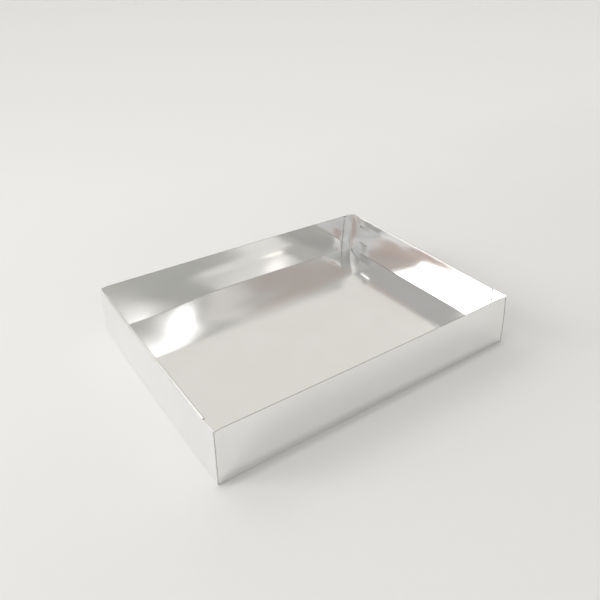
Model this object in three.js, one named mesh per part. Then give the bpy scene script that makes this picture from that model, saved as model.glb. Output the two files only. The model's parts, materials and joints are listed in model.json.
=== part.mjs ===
// Shallow tray folded from one sheet of mirror-silver card.
// The long walls are single sheets with a flap at each end. The short ends are rolled: an outer panel, a narrow
// rim and an inner panel that folds back down and traps the flaps. Each panel and each crease is a piece.
// Millimetres, +Z up, X along the long walls, origin at the middle of the underside.
import * as THREE from 'three';

// Tray
const trayLength = 240; // outside, along X
const trayWidth = 180; // outside, along Y
const trayHeight = 40; // underside to the top of the rolled rims
const cardThickness = 0.45;

// Clearances
const creaseClearance = 0.15; // between a crease and each panel that it joins
const pocketClearance = 0.2; // each side of a flap inside its rolled end
const innerFootClearance = 0.3; // inner panel to the floor

// Long walls
const longWallDrop = 0.4; // their top edge below the rolled rims
const cornerReliefDrop = 0.8; // their top corners are cut down this far
const cornerReliefRun = 4; // over this length

// Rolled ends
const rimSetback = 12; // rim and inner panel stop this far from the corners
const rimNotchDepth = 1.2; // nick in the end panel's top edge where the rim stops
const innerPanelTaper = 2; // the inner panel's foot is shorter by this at each end

// Corner flaps
const flapFootRise = 1.2; // the lower edge starts this far above the underside
const flapMitre = THREE.MathUtils.degToRad(45); // and climbs at this angle, clear of an end that folds down
const flapShoulderGap = 2; // the top edge slopes down until this far short of the inner panel
const flapShoulderDrop = 9; // by this much
const flapTipHeight = 4.5;

// Creases
const creaseSides = 16;

// Card finish
const cardColour = 0xdcdcd8;
const cardRoughness = 0.08;
const cardMetalness = 1;

// Places that several pieces share
const quarterTurn = Math.PI / 2;
const halfCard = cardThickness / 2;
const foldReach = cardThickness + creaseClearance; // from an outer face to the panel past the fold
const rolledDepth = 3 * cardThickness + 2 * pocketClearance; // end panel, flap and inner panel together
const longWallTop = trayHeight - longWallDrop;
const cornerTop = longWallTop - cornerReliefDrop;
const cornerX = trayLength / 2 - cardThickness - pocketClearance - halfCard; // axis of a corner crease
const rimEnd = trayWidth / 2 - rimSetback;
const rimMiddleZ = trayHeight - halfCard;
const underRim = trayHeight - foldReach;

function silverCard() {
  return new THREE.MeshStandardMaterial({
    color: cardColour,
    roughness: cardRoughness,
    metalness: cardMetalness,
  });
}

// A flat sheet of card cut to an outline, with its middle plane on z = 0.
function sheet(name, outline) {
  const shape = new THREE.Shape(outline.map(([u, v]) => new THREE.Vector2(u, v)));
  const geometry = new THREE.ExtrudeGeometry(shape, { depth: cardThickness, bevelEnabled: false });
  geometry.translate(0, 0, -halfCard);
  const mesh = new THREE.Mesh(geometry, silverCard());
  mesh.name = name;
  return mesh;
}

// The same sheet standing up: the outline's second axis points along +Z.
function uprightSheet(name, outline) {
  const mesh = sheet(name, outline);
  mesh.rotation.x = quarterTurn;
  return mesh;
}

// A closed outline from its right half, listed from the foot up.
function mirrored(rightHalf) {
  const leftHalf = rightHalf.map(([u, v]) => [-u, v]).reverse();
  return [...rightHalf, ...leftHalf];
}

// The rounded bead where the card bends, along Y until it is turned.
function crease(name, length) {
  const geometry = new THREE.CylinderGeometry(halfCard, halfCard, length, creaseSides);
  const mesh = new THREE.Mesh(geometry, silverCard());
  mesh.name = name;
  return mesh;
}

function creaseAlongX(name, length) {
  const mesh = crease(name, length);
  mesh.rotation.z = quarterTurn;
  return mesh;
}

function basePanel() {
  const panelX = trayLength / 2 - foldReach;
  const panelY = trayWidth / 2 - foldReach;
  const panel = sheet('base_panel', mirrored([[panelX, -panelY], [panelX, panelY]]));
  panel.position.z = halfCard;
  return panel;
}

function cornerFlap(name) {
  const root = halfCard + creaseClearance;
  const climb = Math.tan(flapMitre);
  const tipTop = cornerTop - flapShoulderDrop;
  const tipFoot = tipTop - flapTipHeight;
  const reach = (tipFoot - flapFootRise) / climb;
  const shoulder = rimSetback - flapShoulderGap;
  return uprightSheet(name, [
    [root, flapFootRise + root * climb],
    [reach, tipFoot],
    [reach, tipTop],
    [shoulder, tipTop],
    [root, cornerTop],
  ]);
}

// The upright crease at one end of a long wall, with its flap turned in along the rolled end.
function flapCorner(name, x) {
  const corner = new THREE.Group();
  const upright = crease(`${name}_corner_crease`, cornerTop - foldReach);
  upright.rotation.x = quarterTurn;
  upright.position.z = (cornerTop + foldReach) / 2;
  const flap = cornerFlap(`${name}_flap`);
  const turned = new THREE.Group();
  turned.rotation.z = quarterTurn;
  turned.add(flap);
  corner.position.x = x;
  corner.add(upright, turned);
  return corner;
}

// A long wall standing on -Y, with its floor crease and the corners named for its low and high X ends.
function longSide(name, lowCorner, highCorner) {
  const side = new THREE.Group();
  const wallEnd = cornerX - halfCard - creaseClearance;
  const wall = uprightSheet(`${name}_wall`, mirrored([
    [wallEnd, foldReach],
    [wallEnd, cornerTop],
    [wallEnd - cornerReliefRun, longWallTop],
  ]));
  const floorCrease = creaseAlongX(`${name}_base_crease`, 2 * (cornerX + halfCard));
  floorCrease.position.z = halfCard;
  const middle = new THREE.Group();
  middle.position.y = halfCard - trayWidth / 2;
  middle.add(wall, floorCrease, flapCorner(lowCorner, -cornerX), flapCorner(highCorner, cornerX));
  side.add(middle);
  return side;
}

// A rolled end standing on -Y, at half the tray's length from the middle.
function rolledEnd(name) {
  const end = new THREE.Group();
  const outerMiddle = halfCard - trayLength / 2;
  const innerMiddle = outerMiddle + rolledDepth - cardThickness;

  const endPanel = uprightSheet(`${name}_end_panel`, mirrored([
    [trayWidth / 2, foldReach],
    [trayWidth / 2, trayHeight],
    [rimEnd + creaseClearance, trayHeight - rimNotchDepth],
    [rimEnd, underRim],
  ]));
  endPanel.position.y = outerMiddle;

  const floorCrease = creaseAlongX(`${name}_base_crease`, trayWidth);
  floorCrease.position.set(0, outerMiddle, halfCard);

  const outerCrease = creaseAlongX(`${name}_rim_outer_crease`, 2 * rimEnd);
  outerCrease.position.set(0, outerMiddle, rimMiddleZ);

  const rimGeometry = new THREE.BoxGeometry(2 * rimEnd, rolledDepth - 2 * foldReach, cardThickness);
  const rim = new THREE.Mesh(rimGeometry, silverCard());
  rim.name = `${name}_rim_panel`;
  rim.position.set(0, (outerMiddle + innerMiddle) / 2, rimMiddleZ);

  const innerCrease = creaseAlongX(`${name}_rim_inner_crease`, 2 * rimEnd);
  innerCrease.position.set(0, innerMiddle, rimMiddleZ);

  const innerPanel = uprightSheet(`${name}_inner_panel`, mirrored([
    [rimEnd - innerPanelTaper, cardThickness + innerFootClearance],
    [rimEnd, underRim],
  ]));
  innerPanel.position.y = innerMiddle;

  end.add(endPanel, floorCrease, outerCrease, rim, innerCrease, innerPanel);
  return end;
}

const tray = new THREE.Group();
tray.add(basePanel());

const front = longSide('front', 'front_left', 'front_right');
const back = longSide('back', 'back_right', 'back_left');
back.rotation.z = Math.PI;
tray.add(front, back);

const left = rolledEnd('left');
left.rotation.z = -quarterTurn;
const right = rolledEnd('right');
right.rotation.z = quarterTurn;
tray.add(left, right);

export default tray;
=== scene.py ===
"""Looks of a shallow tray folded from mirror-silver card, on a pale table in soft studio light."""
import json
import math
from collections import namedtuple

import bmesh
import bpy
import numpy as np
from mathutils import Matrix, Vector


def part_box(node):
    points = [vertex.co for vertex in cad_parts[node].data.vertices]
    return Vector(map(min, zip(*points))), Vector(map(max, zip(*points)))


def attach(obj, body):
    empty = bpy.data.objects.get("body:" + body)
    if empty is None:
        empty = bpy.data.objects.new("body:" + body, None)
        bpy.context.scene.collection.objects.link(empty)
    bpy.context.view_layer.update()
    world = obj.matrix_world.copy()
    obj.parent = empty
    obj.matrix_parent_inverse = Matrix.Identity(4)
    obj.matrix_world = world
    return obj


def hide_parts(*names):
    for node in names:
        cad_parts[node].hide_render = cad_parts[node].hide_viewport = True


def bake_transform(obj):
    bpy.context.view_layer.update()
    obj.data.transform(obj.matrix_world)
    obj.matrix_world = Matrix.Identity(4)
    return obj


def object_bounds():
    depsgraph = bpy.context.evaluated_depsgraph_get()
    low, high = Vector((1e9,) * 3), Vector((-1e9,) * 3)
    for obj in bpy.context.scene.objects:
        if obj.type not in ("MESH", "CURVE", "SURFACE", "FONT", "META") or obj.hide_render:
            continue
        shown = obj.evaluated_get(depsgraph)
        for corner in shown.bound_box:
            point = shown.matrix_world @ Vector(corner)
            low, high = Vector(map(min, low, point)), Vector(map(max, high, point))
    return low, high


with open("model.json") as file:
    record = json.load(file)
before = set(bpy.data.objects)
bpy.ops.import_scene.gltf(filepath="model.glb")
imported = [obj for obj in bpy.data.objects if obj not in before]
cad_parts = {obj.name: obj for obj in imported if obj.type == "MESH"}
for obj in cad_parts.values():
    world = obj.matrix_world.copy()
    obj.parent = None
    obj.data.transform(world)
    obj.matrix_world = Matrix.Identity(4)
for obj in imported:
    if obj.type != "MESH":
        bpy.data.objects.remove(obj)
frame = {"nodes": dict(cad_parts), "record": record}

MM = 0.001
X, Y, Z = Vector((1, 0, 0)), Vector((0, 1, 0)), Vector((0, 0, 1))

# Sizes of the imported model
CAD_LOW, CAD_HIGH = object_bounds()
HALF_LENGTH, HALF_WIDTH, HEIGHT = CAD_HIGH
BASE_LOW, BASE_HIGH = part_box("base_panel")
INNER_LOW, INNER_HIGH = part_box("right_inner_panel")
FLAP_LOW, FLAP_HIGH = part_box("front_right_flap")
RIM_LOW, RIM_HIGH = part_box("right_rim_panel")
END_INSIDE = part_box("right_end_panel")[0].x
RIGHT_AXIS = sum(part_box("right_base_crease"), Vector()) / 2
HALF_CARD = (BASE_HIGH.z - BASE_LOW.z) / 2
REACH = RIGHT_AXIS.x - BASE_HIGH.x  # from a crease's axis to the panels that it joins
OUTER_BEND = REACH + HALF_CARD
INNER_BEND = REACH - HALF_CARD

# Mesh detail
PANEL_STEP = 4 * MM
INNER_STEP = 0.8 * MM  # up the inner panels, which bend sharply below their rims
CREASE_STEP = 3 * MM
RIM_CELLS = 6  # fewest cells along and across a rim
BEND_SEGMENTS = 8
SMOOTH_ANGLE = math.radians(40)
WELD_DISTANCE = 1e-6
CUT_MARGIN = 1e-7
FLAT_ANGLE = 0.01  # radians; faces that meet flatter than this become one
BROAD_SHARE = 0.5  # a face whose normal lies further than this across the card is one of its broad faces
LEAST_CURL = 1e-9  # keeps a weighed mean from dividing by zero

# Bead that a crease raises on the inside of a floor fold
BEAD_RADIUS = 0.34 * MM
BEAD_CENTRE = 0.27 * MM  # from the crease's axis, towards both panels
BEAD_FROM, BEAD_TO = math.radians(100), math.radians(-10)

# How far a wall's rim is pulled in: least at its crest, a place from -1 to 1 along the wall, more at the
# wall's low and high ends, and by which power it grows from the crest to an end
Pull = namedtuple("Pull", "least low high crest power")
RIM_PULL = {
    "left": Pull(0.0, 0.9 * MM, 1.0 * MM, 0.2, 2.0),
    "right": Pull(0.2 * MM, 1.95 * MM, 0.25 * MM, 0.8, 1.4),
    "front": Pull(0.9 * MM, 0.95 * MM, 2.4 * MM, -0.4, 2.0),
    "back": Pull(0.35 * MM, 0.75 * MM, 1.55 * MM, -0.1, 3.0),
}
LEAN_POWER = {"left": 1.0, "right": 1.0, "front": 2.2, "back": 1.0}  # by which it grows up the wall

# Dents of the card: depth, half waves along the wall, and phase along it
Dent = namedtuple("Dent", "depth along phase")
DENTS = {
    "left": [Dent(0.2 * MM, 2.4, 0.4)],
    "right": [Dent(0.2 * MM, 2.0, 0.0)],
    "front": [Dent(0.15 * MM, 2.0, 0.2), Dent(0.05 * MM, 5.0, 1.1)],
    "back": [Dent(0.3 * MM, 2.6, 0.6), Dent(0.12 * MM, 5.4, 1.3)],
}
DENT_POWER = 8  # keeps a wall's dents out of the pieces further in

# The card is warped: the floor panel curls up to its back and right folds. The back one comes down at its
# left corner and the right one at its front corner.
FOLD_LIFT = 5.0 * MM
CURL_REACH = 40 * MM  # from a fold to where the floor bends flat
CURL_BEND = 0.3  # share of that reach, on each side, in which it bends
RIGHT_RISE_FROM, RIGHT_RISE_TO = -87 * MM, -66 * MM  # the right fold lifts off between these
RIGHT_FALL = 0.2  # its lift grows by this share to the front and falls by it to the back
BACK_RISE_FROM, BACK_RISE_TO = -95 * MM, -20 * MM  # the back fold lifts off between these
BACK_FALL_FROM, BACK_FALL = 20 * MM, 0.3  # and comes down by this share from there to the right corner

# Below its rim a rolled end is pinched, so that the flaps sit tight between its two panels
PINCH_SPARE = 0.03 * MM
FLAP_SHIFT = END_INSIDE - FLAP_HIGH.x - PINCH_SPARE
INNER_SHIFT = FLAP_SHIFT + FLAP_LOW.x - INNER_HIGH.x - PINCH_SPARE
PINCH_FROM, PINCH_FULL = 39.3 * MM, 33.0 * MM  # heights
PINCH_FULL_AT_ENDS = 38.4 * MM
PINCH_STOP, PINCH_END = 87.0 * MM, 89.0 * MM  # it fades out between these, towards the long walls

# Above and below its flaps an inner panel's ends tuck in against the end panel
TUCK = FLAP_HIGH.x - FLAP_LOW.x
TUCK_FROM, TUCK_FULL = 64.0 * MM, 74.0 * MM  # along the panel
FLAP_FOOT, FLAP_FOOT_CLEAR = 13.6 * MM, 11.6 * MM  # heights where a flap starts to cover, and is clear
FLAP_TOP, FLAP_TOP_CLEAR = 29.9 * MM, 31.5 * MM

# The nicks in the end panels' top edges are worn shallow
NICK_FROM = 38.7 * MM
NICK_FLOOR = INNER_HIGH.z

# A rolled rim is crowned by this much across its width
RIM_MIDDLE = (RIM_LOW.x + RIM_HIGH.x) / 2
RIM_CROWN = 0.18 * MM
CROWN_FROM = 38.8 * MM

# Each crease, the bodies before and after it, and the ways from its axis to their panels
Crease = namedtuple("Crease", "node before after to_before to_after has_bead")
CREASES = [
    Crease("front_base_crease", "base", "front_wall", Y, Z, True),
    Crease("back_base_crease", "base", "back_wall", -Y, Z, True),
    Crease("left_base_crease", "base", "left_end", X, Z, True),
    Crease("right_base_crease", "base", "right_end", -X, Z, True),
    Crease("left_rim_outer_crease", "left_end", "left_rim", -Z, X, False),
    Crease("left_rim_inner_crease", "left_rim", "left_inner", -X, -Z, False),
    Crease("right_rim_outer_crease", "right_end", "right_rim", -Z, -X, False),
    Crease("right_rim_inner_crease", "right_rim", "right_inner", X, -Z, False),
    Crease("front_left_corner_crease", "front_wall", "front_left_flap", X, Y, False),
    Crease("front_right_corner_crease", "front_wall", "front_right_flap", -X, Y, False),
    Crease("back_left_corner_crease", "back_wall", "back_left_flap", X, -Y, False),
    Crease("back_right_corner_crease", "back_wall", "back_right_flap", -X, -Y, False),
]

# Mirror film: its darkest and lightest tone, and its least and most haze
Film = namedtuple("Film", "dark light smooth hazy")
FILMS = {
    "silver_film": Film((0.92, 0.918, 0.908), (0.945, 0.943, 0.935), 0.06, 0.1),
    "floor_film": Film((0.92, 0.918, 0.908), (0.945, 0.943, 0.935), 0.085, 0.125),
    "end_film": Film((0.895, 0.898, 0.898), (0.92, 0.923, 0.923), 0.06, 0.1),
    "creased_film": Film((0.8, 0.795, 0.78), (0.92, 0.915, 0.9), 0.12, 0.3),
}

# Cut edges of the card: darkest and lightest tone
Edge = namedtuple("Edge", "dark light")
EDGES = {
    # Painted shade: the long walls' cut edges are painted near black, so that they draw the dark line of
    # shade along those walls' tops
    "painted_shade_edge": Edge((0.1, 0.1, 0.1), (0.34, 0.335, 0.32)),
    "clean_edge": Edge((0.86, 0.855, 0.84), (0.95, 0.948, 0.94)),
}
EDGE_ROUGHNESS = 0.7

# Table
TABLE_RADIUS = 6.0
TABLE_SIDES = 64
TABLE_DROP = 0.05 * MM
# Painted light: the table's tone is painted paler towards the back and darker towards the front, in place
# of light that falls off across it
TABLE_FRONT, TABLE_BACK = -0.02, 0.46  # its tone changes between these places, with the cloud's shift
TABLE_SHADED_FRONT_TONE = (0.836, 0.83, 0.818)
TABLE_LIT_BACK_TONE = (0.924, 0.917, 0.905)
TABLE_GLOSS = 0.25
CLOUD_SHIFT = 0.2

# Lamps, in metres, with the radiance that a mirror shows of them
LAMP_COLOUR = (1.0, 0.99, 0.97)
FILL_AT = (-85, 40)  # azimuth and elevation
FILL_DISTANCE = 0.9
FILL_SIZE = (0.7, 0.5)
FILL_RADIANCE = 0.9

# A long overhead lamp, a little behind the front wall's plane, draws the narrow shadow at that wall's foot
STRIP_HEIGHT = 5.0
STRIP_LEAN = 0.14
STRIP_SIZE = (5.0, 0.5)
STRIP_RADIANCE = 5.5

# Room: its tone, a pale wall, a darker ceiling, and patches of light and tone. Angles are in degrees.
ROOM_TONE = (0.5, 0.49, 0.47)
PALE_TONE = (0.745, 0.725, 0.685)
PALE_AT = (33, 37)  # azimuth and elevation
PALE_EDGE, PALE_CORE = 0.55, 0.93  # cosines of the angle from there
CEILING_TONE = (0.42, 0.42, 0.42)
CEILING_EDGE, CEILING_CORE = 40, 26  # from straight up
Patch = namedtuple("Patch", "azimuth elevation radius softness colour")
PATCHES = [
    Patch(-100, 28, 22.0, 16.0, (0.9, 0.9, 0.91)),
    Patch(-14, 44.5, 8.0, 4.0, (2.4, 2.4, 2.4)),
    Patch(-41, 39, 6.0, 4.0, (0.43, 0.42, 0.415)),
    Patch(-44, 27, 5.0, 4.0, (0.54, 0.44, 0.4)),
    Patch(-61.5, 30, 7.5, 4.0, (5.2, 5.25, 5.3)),
    Patch(-58, 18.5, 8.0, 4.0, (5.2, 5.25, 5.3)),
    Patch(160, 26, 4.0, 4.0, (0.43, 0.43, 0.41)),
    Patch(152.5, 20.5, 3.6, 3.0, (0.78, 0.765, 0.735)),
    Patch(150, 25.5, 1.5, 2.5, (0.85, 0.85, 0.83)),
    Patch(149.8, 20.1, 0.8, 1.2, (1.5, 1.45, 1.4)),
    Patch(151.5, 42.5, 2.0, 3.0, (0.7, 0.68, 0.66)),
    Patch(163.9, 35, 1.0, 2.0, (0.95, 0.94, 0.92)),
    Patch(161, 38, 2.2, 1.8, (2.0, 2.0, 2.0)),
    Patch(142, 38.5, 4.0, 2.0, (0.45, 0.41, 0.38)),
    Patch(-129.5, 24, 3.5, 3.5, (0.53, 0.43, 0.385)),
    Patch(-131.5, 30.5, 2.0, 2.5, (0.53, 0.44, 0.4)),
    Patch(-134.0, 20.5, 3.0, 2.0, (0.48, 0.42, 0.4)),
    Patch(-137, 34.5, 1.8, 1.8, (0.95, 0.94, 0.94)),
    Patch(-137, 27.8, 1.2, 1.5, (0.8, 0.78, 0.78)),
    Patch(-139.5, 20, 1.2, 2.0, (0.67, 0.68, 0.7)),
    Patch(-139.5, 26.5, 2.2, 1.5, (0.7, 0.71, 0.73)),
    Patch(-146, 29, 3.0, 3.0, (0.4, 0.4, 0.39)),
]

# Camera, from the photograph's perspective
IMAGE_PIXELS = 600
SENSOR = 36.0
FOCAL_PIXELS = 586.6
CAMERA_AT = (214.72, 32.06)  # azimuth and elevation, in degrees
CAMERA_DISTANCE = 0.4928
CAMERA_TARGET = Vector((0.0292, 0.04476, -0.00057))
CLIP_START = 0.01


def cosine(degrees):
    return math.cos(math.radians(degrees))


def direction(azimuth, elevation):
    """A unit vector: azimuth 0 points along +Y and turns towards +X, both in degrees."""
    a, e = math.radians(azimuth), math.radians(elevation)
    return Vector((math.sin(a) * math.cos(e), math.cos(a) * math.cos(e), math.sin(e)))


def eased(value, start, end):
    """0 at the start and 1 at the end, smooth at both."""
    share = np.clip((value - start) / (end - start), 0, 1)
    return share * share * (3 - 2 * share)


def along_wall(position, crest):
    """0 where a wall stands out most and 1 at both of its ends; position runs from -1 to 1."""
    span = np.where(position > crest, 1 - crest, 1 + crest)
    return np.abs(position - crest) / span


def pulled_in(wall, position):
    """How far a wall's rim is pulled in at a position along it."""
    pull = RIM_PULL[wall]
    end = np.where(position > pull.crest, pull.high, pull.low)
    return pull.least + (end - pull.least) * along_wall(position, pull.crest) ** pull.power


def dented_in(wall, position, rise):
    """Inward dents of a wall's card, none at its fold, its rim and its upright ends."""
    calm = (1 - position ** 2) * np.sin(math.pi * rise)
    total = np.zeros_like(position)
    for dent in DENTS[wall]:
        length = np.sin(math.pi * (dent.along * (position + 1) / 2 + dent.phase))
        total += dent.depth * (1 + length) / 2 * calm
    return total


def moved_sideways(across, half, low_wall, high_wall, position, rise):
    """Places across the tray after its two facing walls are pulled in and dented."""
    share = np.clip(np.abs(across) / half, 0, 1)
    is_high = across > 0
    low_pull = pulled_in(low_wall, position) * rise ** LEAN_POWER[low_wall]
    high_pull = pulled_in(high_wall, position) * rise ** LEAN_POWER[high_wall]
    pull = np.where(is_high, high_pull, low_pull)
    dent = np.where(is_high, dented_in(high_wall, position, rise), dented_in(low_wall, position, rise))
    return across - np.sign(across) * (dent * share ** DENT_POWER + pull * share)


def curl(across, half):
    """0 where the floor lies flat, rising to 1 at the folds on both sides."""
    share = 1 - (half - np.abs(across)) / CURL_REACH
    bend = np.clip(share + CURL_BEND, 0, 2 * CURL_BEND) ** 2 / (4 * CURL_BEND)
    return np.clip(np.where(share > CURL_BEND, share, bend), 0, 1)


def fold_lift(x, y):
    """How far the floor stands off the table, also below each place of a wall."""
    end_curl, long_curl = curl(x, HALF_LENGTH), curl(y, HALF_WIDTH)
    right_share = eased(y, RIGHT_RISE_FROM, RIGHT_RISE_TO) * (1 - RIGHT_FALL * y / HALF_WIDTH)
    back_fall = BACK_FALL * eased(x, BACK_FALL_FROM, HALF_LENGTH)
    back_share = eased(x, BACK_RISE_FROM, BACK_RISE_TO) * (1 - back_fall)
    end_lift = np.where(x > 0, FOLD_LIFT * right_share, 0)
    long_lift = np.where(y > 0, FOLD_LIFT * back_share, 0)
    total = np.maximum(end_curl + long_curl, LEAST_CURL)
    lift = (end_lift * end_curl + long_lift * long_curl) / total
    return lift * (1 - (1 - end_curl) * (1 - long_curl))


def pinched_out(x, y, z):
    """How far the layers of a rolled end move out below its rim."""
    far_x, far_y = np.abs(x), np.abs(y)
    places = (INNER_LOW.x - PINCH_SPARE, INNER_LOW.x, INNER_HIGH.x, FLAP_LOW.x, FLAP_HIGH.x, END_INSIDE)
    shift = np.interp(far_x, places, (0, INNER_SHIFT, INNER_SHIFT, FLAP_SHIFT, FLAP_SHIFT, 0))
    is_inner = np.interp(far_x, places, (0, 1, 1, 0, 0, 0))
    is_bare = np.maximum(eased(z, FLAP_FOOT, FLAP_FOOT_CLEAR), eased(z, FLAP_TOP, FLAP_TOP_CLEAR))
    tuck = TUCK * is_inner * is_bare * eased(far_y, TUCK_FROM, TUCK_FULL)
    full = PINCH_FULL + (PINCH_FULL_AT_ENDS - PINCH_FULL) * eased(far_y, TUCK_FROM, TUCK_FULL)
    return (shift + tuck) * eased(z, PINCH_FROM, full) * eased(far_y, PINCH_END, PINCH_STOP)


def crowned_down(x, z):
    """How far a rolled rim falls away from its middle line."""
    from_middle = np.clip((np.abs(x) - RIM_MIDDLE) / (HALF_LENGTH - RIM_MIDDLE), -1, 1)
    return RIM_CROWN * from_middle ** 2 * np.clip((z - CROWN_FROM) / (HEIGHT - CROWN_FROM), 0, 1)


def warped(points):
    """The card's real shape. Every piece goes through this one bend, so nested pieces stay clear."""
    points = np.asarray(points, float).reshape(-1, 3)
    x, y, z = points.T
    rise = np.clip(z / HEIGHT, 0, 1)
    across_x = np.clip(x / HALF_LENGTH, -1, 1)
    across_y = np.clip(y / HALF_WIDTH, -1, 1)
    tight_x = x + np.sign(x) * pinched_out(x, y, z)
    new_x = moved_sideways(tight_x, HALF_LENGTH, "left", "right", across_y, rise)
    new_y = moved_sideways(y, HALF_WIDTH, "front", "back", across_x, rise)
    new_z = z + fold_lift(x, y) * (1 - rise) - crowned_down(x, z)
    return np.column_stack((new_x, new_y, new_z))


def new_node(owner, kind, **values):
    """A new node of a material or world, with its plain inputs set by name."""
    node = owner.node_tree.nodes.new(kind)
    for name, value in values.items():
        node.inputs[name.replace("_", " ")].default_value = value
    return node


def new_material(name):
    material = bpy.data.materials.new(name)
    material.use_nodes = True
    return material, material.node_tree.nodes["Principled BSDF"]


def noise(material, scale, detail=3.0, roughness=0.5, stretch=(1, 1, 1)):
    """Noise in the piece's own metres."""
    links = material.node_tree.links
    place = new_node(material, "ShaderNodeTexCoord")
    mapping = new_node(material, "ShaderNodeMapping", Scale=stretch)
    texture = new_node(material, "ShaderNodeTexNoise", Scale=scale, Detail=detail, Roughness=roughness)
    links.new(place.outputs["Object"], mapping.inputs["Vector"])
    links.new(mapping.outputs["Vector"], texture.inputs["Vector"])
    return texture.outputs["Fac"]


def ramp(material, source, low, high, low_colour, high_colour):
    """Colours that run between two values of a source."""
    node = new_node(material, "ShaderNodeValToRGB")
    first, last = node.color_ramp.elements
    first.position, last.position = low, high
    first.color, last.color = (*low_colour, 1), (*high_colour, 1)
    material.node_tree.links.new(source, node.inputs["Fac"])
    return node.outputs["Color"]


def spread(material, source, low, high, new_low, new_high):
    """A source's range from low to high mapped to a new range."""
    values = {"From_Min": low, "From_Max": high, "To_Min": new_low, "To_Max": new_high}
    node = new_node(material, "ShaderNodeMapRange", **values)
    material.node_tree.links.new(source, node.inputs["Value"])
    return node.outputs["Result"]


def bump(material, source, strength, distance):
    node = new_node(material, "ShaderNodeBump", Strength=strength, Distance=distance)
    material.node_tree.links.new(source, node.inputs["Height"])
    return node.outputs["Normal"]


def feed(material, shader, sources):
    """Links each source to the shader's input of that name."""
    for name, source in sources.items():
        material.node_tree.links.new(source, shader.inputs[name])


def silver_film(name):
    """Mirror film laminated on card: bright metal, a little haze and fine rubbing along the roll."""
    film = FILMS[name]
    material, shader = new_material(name)
    shader.inputs["Metallic"].default_value = 1.0
    cloud = noise(material, scale=28.0, detail=2.0)
    peel = noise(material, scale=700.0, detail=2.0)
    rubbing = noise(material, scale=60.0, detail=4.0, roughness=0.6, stretch=(1, 18, 18))
    feed(material, shader, {
        "Base Color": ramp(material, cloud, 0.3, 0.7, film.dark, film.light),
        "Roughness": spread(material, rubbing, 0.3, 0.75, film.smooth, film.hazy),
        "Normal": bump(material, peel, strength=0.06, distance=0.01 * MM),
    })
    return material


def creased_film():
    """The same film where the card bends: rubbed duller, with tiny cracks."""
    film = FILMS["creased_film"]
    material, shader = new_material("creased_film")
    shader.inputs["Metallic"].default_value = 1.0
    cracks = noise(material, scale=1400.0, detail=4.0, roughness=0.65)
    wear = noise(material, scale=90.0)
    feed(material, shader, {
        "Base Color": ramp(material, cracks, 0.35, 0.6, film.dark, film.light),
        "Roughness": spread(material, wear, 0.3, 0.7, film.smooth, film.hazy),
        "Normal": bump(material, cracks, strength=0.25, distance=0.04 * MM),
    })
    return material


def cut_edge(name):
    """The layered edge of the card where it was die cut, between two tones."""
    edge = EDGES[name]
    material, shader = new_material(name)
    shader.inputs["Roughness"].default_value = EDGE_ROUGHNESS
    fibre = noise(material, scale=2600.0, detail=4.0, roughness=0.6, stretch=(1, 1, 3))
    feed(material, shader, {
        "Base Color": ramp(material, fibre, 0.35, 0.72, edge.dark, edge.light),
        "Normal": bump(material, fibre, strength=0.4, distance=0.05 * MM),
    })
    return material


def clouded_depth(material, cloud):
    """The place from front to back, in the piece's own metres, shifted a little by a cloud."""
    links = material.node_tree.links
    place = new_node(material, "ShaderNodeTexCoord")
    parts = new_node(material, "ShaderNodeSeparateXYZ")
    shifted = new_node(material, "ShaderNodeMath")
    shifted.operation = "MULTIPLY_ADD"
    shifted.inputs[1].default_value = CLOUD_SHIFT
    links.new(place.outputs["Object"], parts.inputs["Vector"])
    links.new(cloud, shifted.inputs[0])
    links.new(parts.outputs["Y"], shifted.inputs[2])
    return shifted.outputs["Value"]


def table_top():
    """Smooth table, faintly clouded, with painted light: painted paler towards the back and painted shade
    towards the front.
    """
    material, shader = new_material("table_top")
    shader.inputs["Specular IOR Level"].default_value = TABLE_GLOSS
    cloud = noise(material, scale=3.0)
    grain = noise(material, scale=420.0)
    depth = spread(material, clouded_depth(material, cloud), TABLE_FRONT, TABLE_BACK, 0.0, 1.0)
    feed(material, shader, {
        "Base Color": ramp(material, depth, 0.0, 1.0, TABLE_SHADED_FRONT_TONE, TABLE_LIT_BACK_TONE),
        "Roughness": spread(material, grain, 0.3, 0.7, 0.55, 0.7),
        "Normal": bump(material, grain, strength=0.05, distance=0.05 * MM),
    })
    return material


def new_piece(name, mesh, materials):
    """A piece of the tray, smooth across its bends and sharp at its cut edges."""
    for material in materials:
        mesh.materials.append(material)
    mesh.shade_smooth()
    mesh.set_sharp_from_angle(angle=SMOOTH_ANGLE)
    piece = bpy.data.objects.new(name, mesh)
    bpy.context.scene.collection.objects.link(piece)
    return piece


def cut_into_cells(grid, axis, low, high, cells):
    """Cuts a panel across one axis into equal cells."""
    for k in range(1, cells):
        place = [0.0, 0.0, 0.0]
        normal = [0.0, 0.0, 0.0]
        place[axis] = low + (high - low) * k / cells
        normal[axis] = 1.0
        parts = grid.verts[:] + grid.edges[:] + grid.faces[:]
        bmesh.ops.bisect_plane(grid, geom=parts, dist=CUT_MARGIN, plane_co=place, plane_no=normal)


def panel_grid(node, low, high, thin):
    """A panel's solid, cut into cells along its two broad axes."""
    extent = high - low
    grid = bmesh.new()
    grid.from_mesh(frame["nodes"][node].data)
    bmesh.ops.remove_doubles(grid, verts=grid.verts[:], dist=WELD_DISTANCE)
    bmesh.ops.dissolve_limit(grid, angle_limit=FLAT_ANGLE, verts=grid.verts[:], edges=grid.edges[:])
    fewest = RIM_CELLS if "rim" in node else 1
    for axis in range(3):
        if axis != thin:
            step = INNER_STEP if axis == 2 and "inner" in node else PANEL_STEP
            cells = max(fewest, round(extent[axis] / step))
            cut_into_cells(grid, axis, low[axis], high[axis], cells)
    bmesh.ops.recalc_face_normals(grid, faces=grid.faces[:])
    return grid


def wear_nicks(grid):
    for vertex in grid.verts:
        if vertex.co.z > NICK_FROM:
            vertex.co.z = max(vertex.co.z, NICK_FLOOR)


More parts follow.
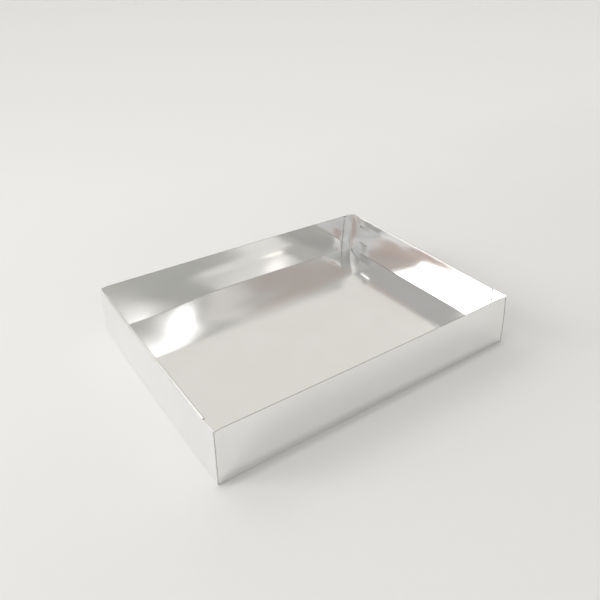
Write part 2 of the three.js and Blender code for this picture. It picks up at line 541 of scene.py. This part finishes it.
def panel_sheet(node, body, film, edge):
    """A flat panel's card, with film on its broad faces, bent to its real shape."""
    low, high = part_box(node)
    thin = min(range(3), key=lambda axis: (high - low)[axis])
    grid = panel_grid(node, low, high, thin)
    for face in grid.faces:
        face.material_index = 0 if abs(face.normal[thin]) > BROAD_SHARE else 1
    if node.endswith("_end_panel"):
        wear_nicks(grid)
    for vertex, place in zip(grid.verts, warped([v.co for v in grid.verts])):
        vertex.co = place
    mesh = bpy.data.meshes.new(f"{node}_sheet")
    grid.to_mesh(mesh)
    grid.free()
    piece = new_piece(f"{node}_sheet", mesh, (film, edge))
    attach(piece, body)
    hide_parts(node)


def bend_arc(radius, turns):
    """Part of a crease's cross section, about the point where its two panels start."""
    return [(REACH - radius * math.sin(t), REACH - radius * math.cos(t)) for t in turns]


def bead_arc():
    """The bead's round back, from the panel before the crease to the panel after it."""
    span = BEAD_TO - BEAD_FROM
    turns = [BEAD_FROM + span * k / BEND_SEGMENTS for k in range(BEND_SEGMENTS + 1)]
    return [
        (BEAD_CENTRE + BEAD_RADIUS * math.cos(t), BEAD_CENTRE + BEAD_RADIUS * math.sin(t))
        for t in turns
    ]


def bend_profile(has_bead):
    """A crease's cross section, as lengths towards the panel before it and the panel after it."""
    turns = [math.pi / 2 * k / BEND_SEGMENTS for k in range(BEND_SEGMENTS + 1)]
    outside = bend_arc(OUTER_BEND, turns)
    inside = bend_arc(INNER_BEND, reversed(turns))
    if has_bead:
        return outside + [inside[0]] + bead_arc() + [inside[-1]]
    return outside + inside


def strip_faces(count, steps):
    """Faces of a closed strip that has this many points round its profile."""
    faces = []
    for k in range(steps):
        near, far = k * count, (k + 1) * count
        for j in range(count):
            after = (j + 1) % count
            faces.append((near + j, near + after, far + after, far + j))
    faces.append(tuple(range(count)))
    faces.append(tuple(range(steps * count, (steps + 1) * count)))
    return faces


def swept(name, profile, start, end, crease):
    """A closed strip with one profile from start to end, bent to its real shape."""
    run = end - start
    steps = max(1, round(run.length / CREASE_STEP))
    points = [
        start + run * k / steps + crease.to_before * u + crease.to_after * v
        for k in range(steps + 1)
        for u, v in profile
    ]
    mesh = bpy.data.meshes.new(name)
    mesh.from_pydata(warped(points).tolist(), [], strip_faces(len(profile), steps))
    strip = bmesh.new()
    strip.from_mesh(mesh)
    bmesh.ops.recalc_face_normals(strip, faces=strip.faces[:])
    strip.to_mesh(mesh)
    strip.free()
    return mesh


def blend_points(crease, start, end):
    """Where a crease starts and stops turning, square to its bent line."""
    near, far = warped(start)[0], warped(end)[0]
    line = Vector(far - near).normalized()
    if crease.to_after.z < 0:
        first, last = crease.to_after * HALF_CARD, crease.to_after * REACH
    else:
        first, last = crease.to_before * REACH, crease.to_before * HALF_CARD
    step = last - first
    square = step - line * step.dot(line)
    origin = Vector(near)
    return origin + first, origin + first + square


def bend_strip(crease, film):
    """A crease's card, bent to the same real shape as the panels on both sides of it."""
    low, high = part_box(crease.node)
    axis = max(range(3), key=lambda k: (high - low)[k])
    start = (low + high) / 2
    end = start.copy()
    start[axis], end[axis] = low[axis], high[axis]
    name = crease.node.replace("crease", "bend")
    mesh = swept(name, bend_profile(crease.has_bead), start, end, crease)
    piece = new_piece(name, mesh, (film,))
    first, last = blend_points(crease, start, end)
    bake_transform(piece)
    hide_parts(crease.node)


def dress_tray():
    """A sheet for each panel and a strip for each crease."""
    film, creased = silver_film("silver_film"), creased_film()
    floor_film, end_film = silver_film("floor_film"), silver_film("end_film")
    painted_shade_edge, clean_edge = cut_edge("painted_shade_edge"), cut_edge("clean_edge")
    faces = {
        "base_panel": floor_film,
        "left_end_panel": end_film,
        "right_end_panel": end_film,
        "left_rim_panel": creased,
        "right_rim_panel": creased,
    }
    panels = {
        node: body
        for body, nodes in frame["record"]["behaviour"]["bodies"].items()
        for node in nodes
        if "crease" not in node
    }
    for node, body in panels.items():
        # The long walls' cut edges carry the painted shade; the other edges keep the card's light tone
        edge = painted_shade_edge if node.endswith("_wall") else clean_edge
        panel_sheet(node, body, faces.get(node, film), edge)
    for crease in CREASES:
        bend_strip(crease, creased)


def make_table():
    mesh = bpy.data.meshes.new("table")
    rim = [2 * math.pi * k / TABLE_SIDES for k in range(TABLE_SIDES)]
    points = [(TABLE_RADIUS * math.cos(t), TABLE_RADIUS * math.sin(t), -TABLE_DROP) for t in rim]
    mesh.from_pydata(points, [], [tuple(range(TABLE_SIDES))])
    mesh.materials.append(table_top())
    table = bpy.data.objects.new("table", mesh)
    bpy.context.scene.collection.objects.link(table)


def softbox(name, place, width, height, radiance):
    """A rectangular soft lamp that faces the tray. Its radiance is what a mirror shows of it."""
    light = bpy.data.lights.new(name, "AREA")
    light.shape = "RECTANGLE"
    light.size, light.size_y = width, height
    light.energy = radiance * math.pi * width * height
    light.color = LAMP_COLOUR
    lamp = bpy.data.objects.new(name, light)
    lamp.location = place
    lamp.rotation_euler = place.to_track_quat("Z", "Y").to_euler()
    lamp.visible_camera = False
    bpy.context.scene.collection.objects.link(lamp)


def smooth_share(world, place, towards, edge, core):
    """0 to 1 as a world direction turns towards another, between the cosines at an edge and a core."""
    links = world.node_tree.links
    dot = new_node(world, "ShaderNodeVectorMath")
    dot.operation = "DOT_PRODUCT"
    dot.inputs[1].default_value = towards
    share = new_node(world, "ShaderNodeMapRange", From_Min=edge, From_Max=core)
    share.interpolation_type = "SMOOTHSTEP"
    links.new(place, dot.inputs[0])
    links.new(dot.outputs["Value"], share.inputs["Value"])
    return share.outputs["Result"]


def mixed(world, share, under, colour):
    """A colour laid by a share over what is under it: a plain tone, or what was mixed before."""
    links = world.node_tree.links
    mix = new_node(world, "ShaderNodeMixRGB", Color2=(*colour, 1))
    links.new(share, mix.inputs["Fac"])
    if isinstance(under, tuple):
        mix.inputs["Color1"].default_value = (*under, 1)
    else:
        links.new(under, mix.inputs["Color1"])
    return mix.outputs["Color"]


def make_world():
    """A plain room with a pale wall at the back right, a darker ceiling, and soft patches."""
    world = bpy.data.worlds.new("studio")
    world.use_nodes = True
    bpy.context.scene.world = world
    place = new_node(world, "ShaderNodeTexCoord").outputs["Generated"]
    pale = smooth_share(world, place, direction(*PALE_AT), PALE_EDGE, PALE_CORE)
    tone = mixed(world, pale, ROOM_TONE, PALE_TONE)
    for patch in PATCHES:
        towards = direction(patch.azimuth, patch.elevation)
        edge, core = cosine(patch.radius + patch.softness), cosine(patch.radius)
        tone = mixed(world, smooth_share(world, place, towards, edge, core), tone, patch.colour)
    ceiling = smooth_share(world, place, Z, cosine(CEILING_EDGE), cosine(CEILING_CORE))
    tone = mixed(world, ceiling, tone, CEILING_TONE)
    world.node_tree.links.new(tone, world.node_tree.nodes["Background"].inputs["Color"])


def make_lamps():
    softbox("fill", direction(*FILL_AT) * FILL_DISTANCE, *FILL_SIZE, FILL_RADIANCE)
    above = Vector((0, STRIP_LEAN * STRIP_HEIGHT - HALF_WIDTH, STRIP_HEIGHT))
    softbox("strip", above, *STRIP_SIZE, STRIP_RADIANCE)


def make_camera():
    camera = bpy.data.objects.new("camera", bpy.data.cameras.new("camera"))
    camera.data.sensor_width = SENSOR
    camera.data.lens = SENSOR * FOCAL_PIXELS / IMAGE_PIXELS
    camera.data.clip_start = CLIP_START
    back = direction(*CAMERA_AT)
    camera.location = CAMERA_TARGET + back * CAMERA_DISTANCE
    camera.rotation_euler = back.to_track_quat("Z", "Y").to_euler()
    bpy.context.scene.collection.objects.link(camera)
    bpy.context.scene.camera = camera


dress_tray()
make_table()
make_world()
make_lamps()
make_camera()
bpy.context.scene.view_settings.view_transform = "Standard"
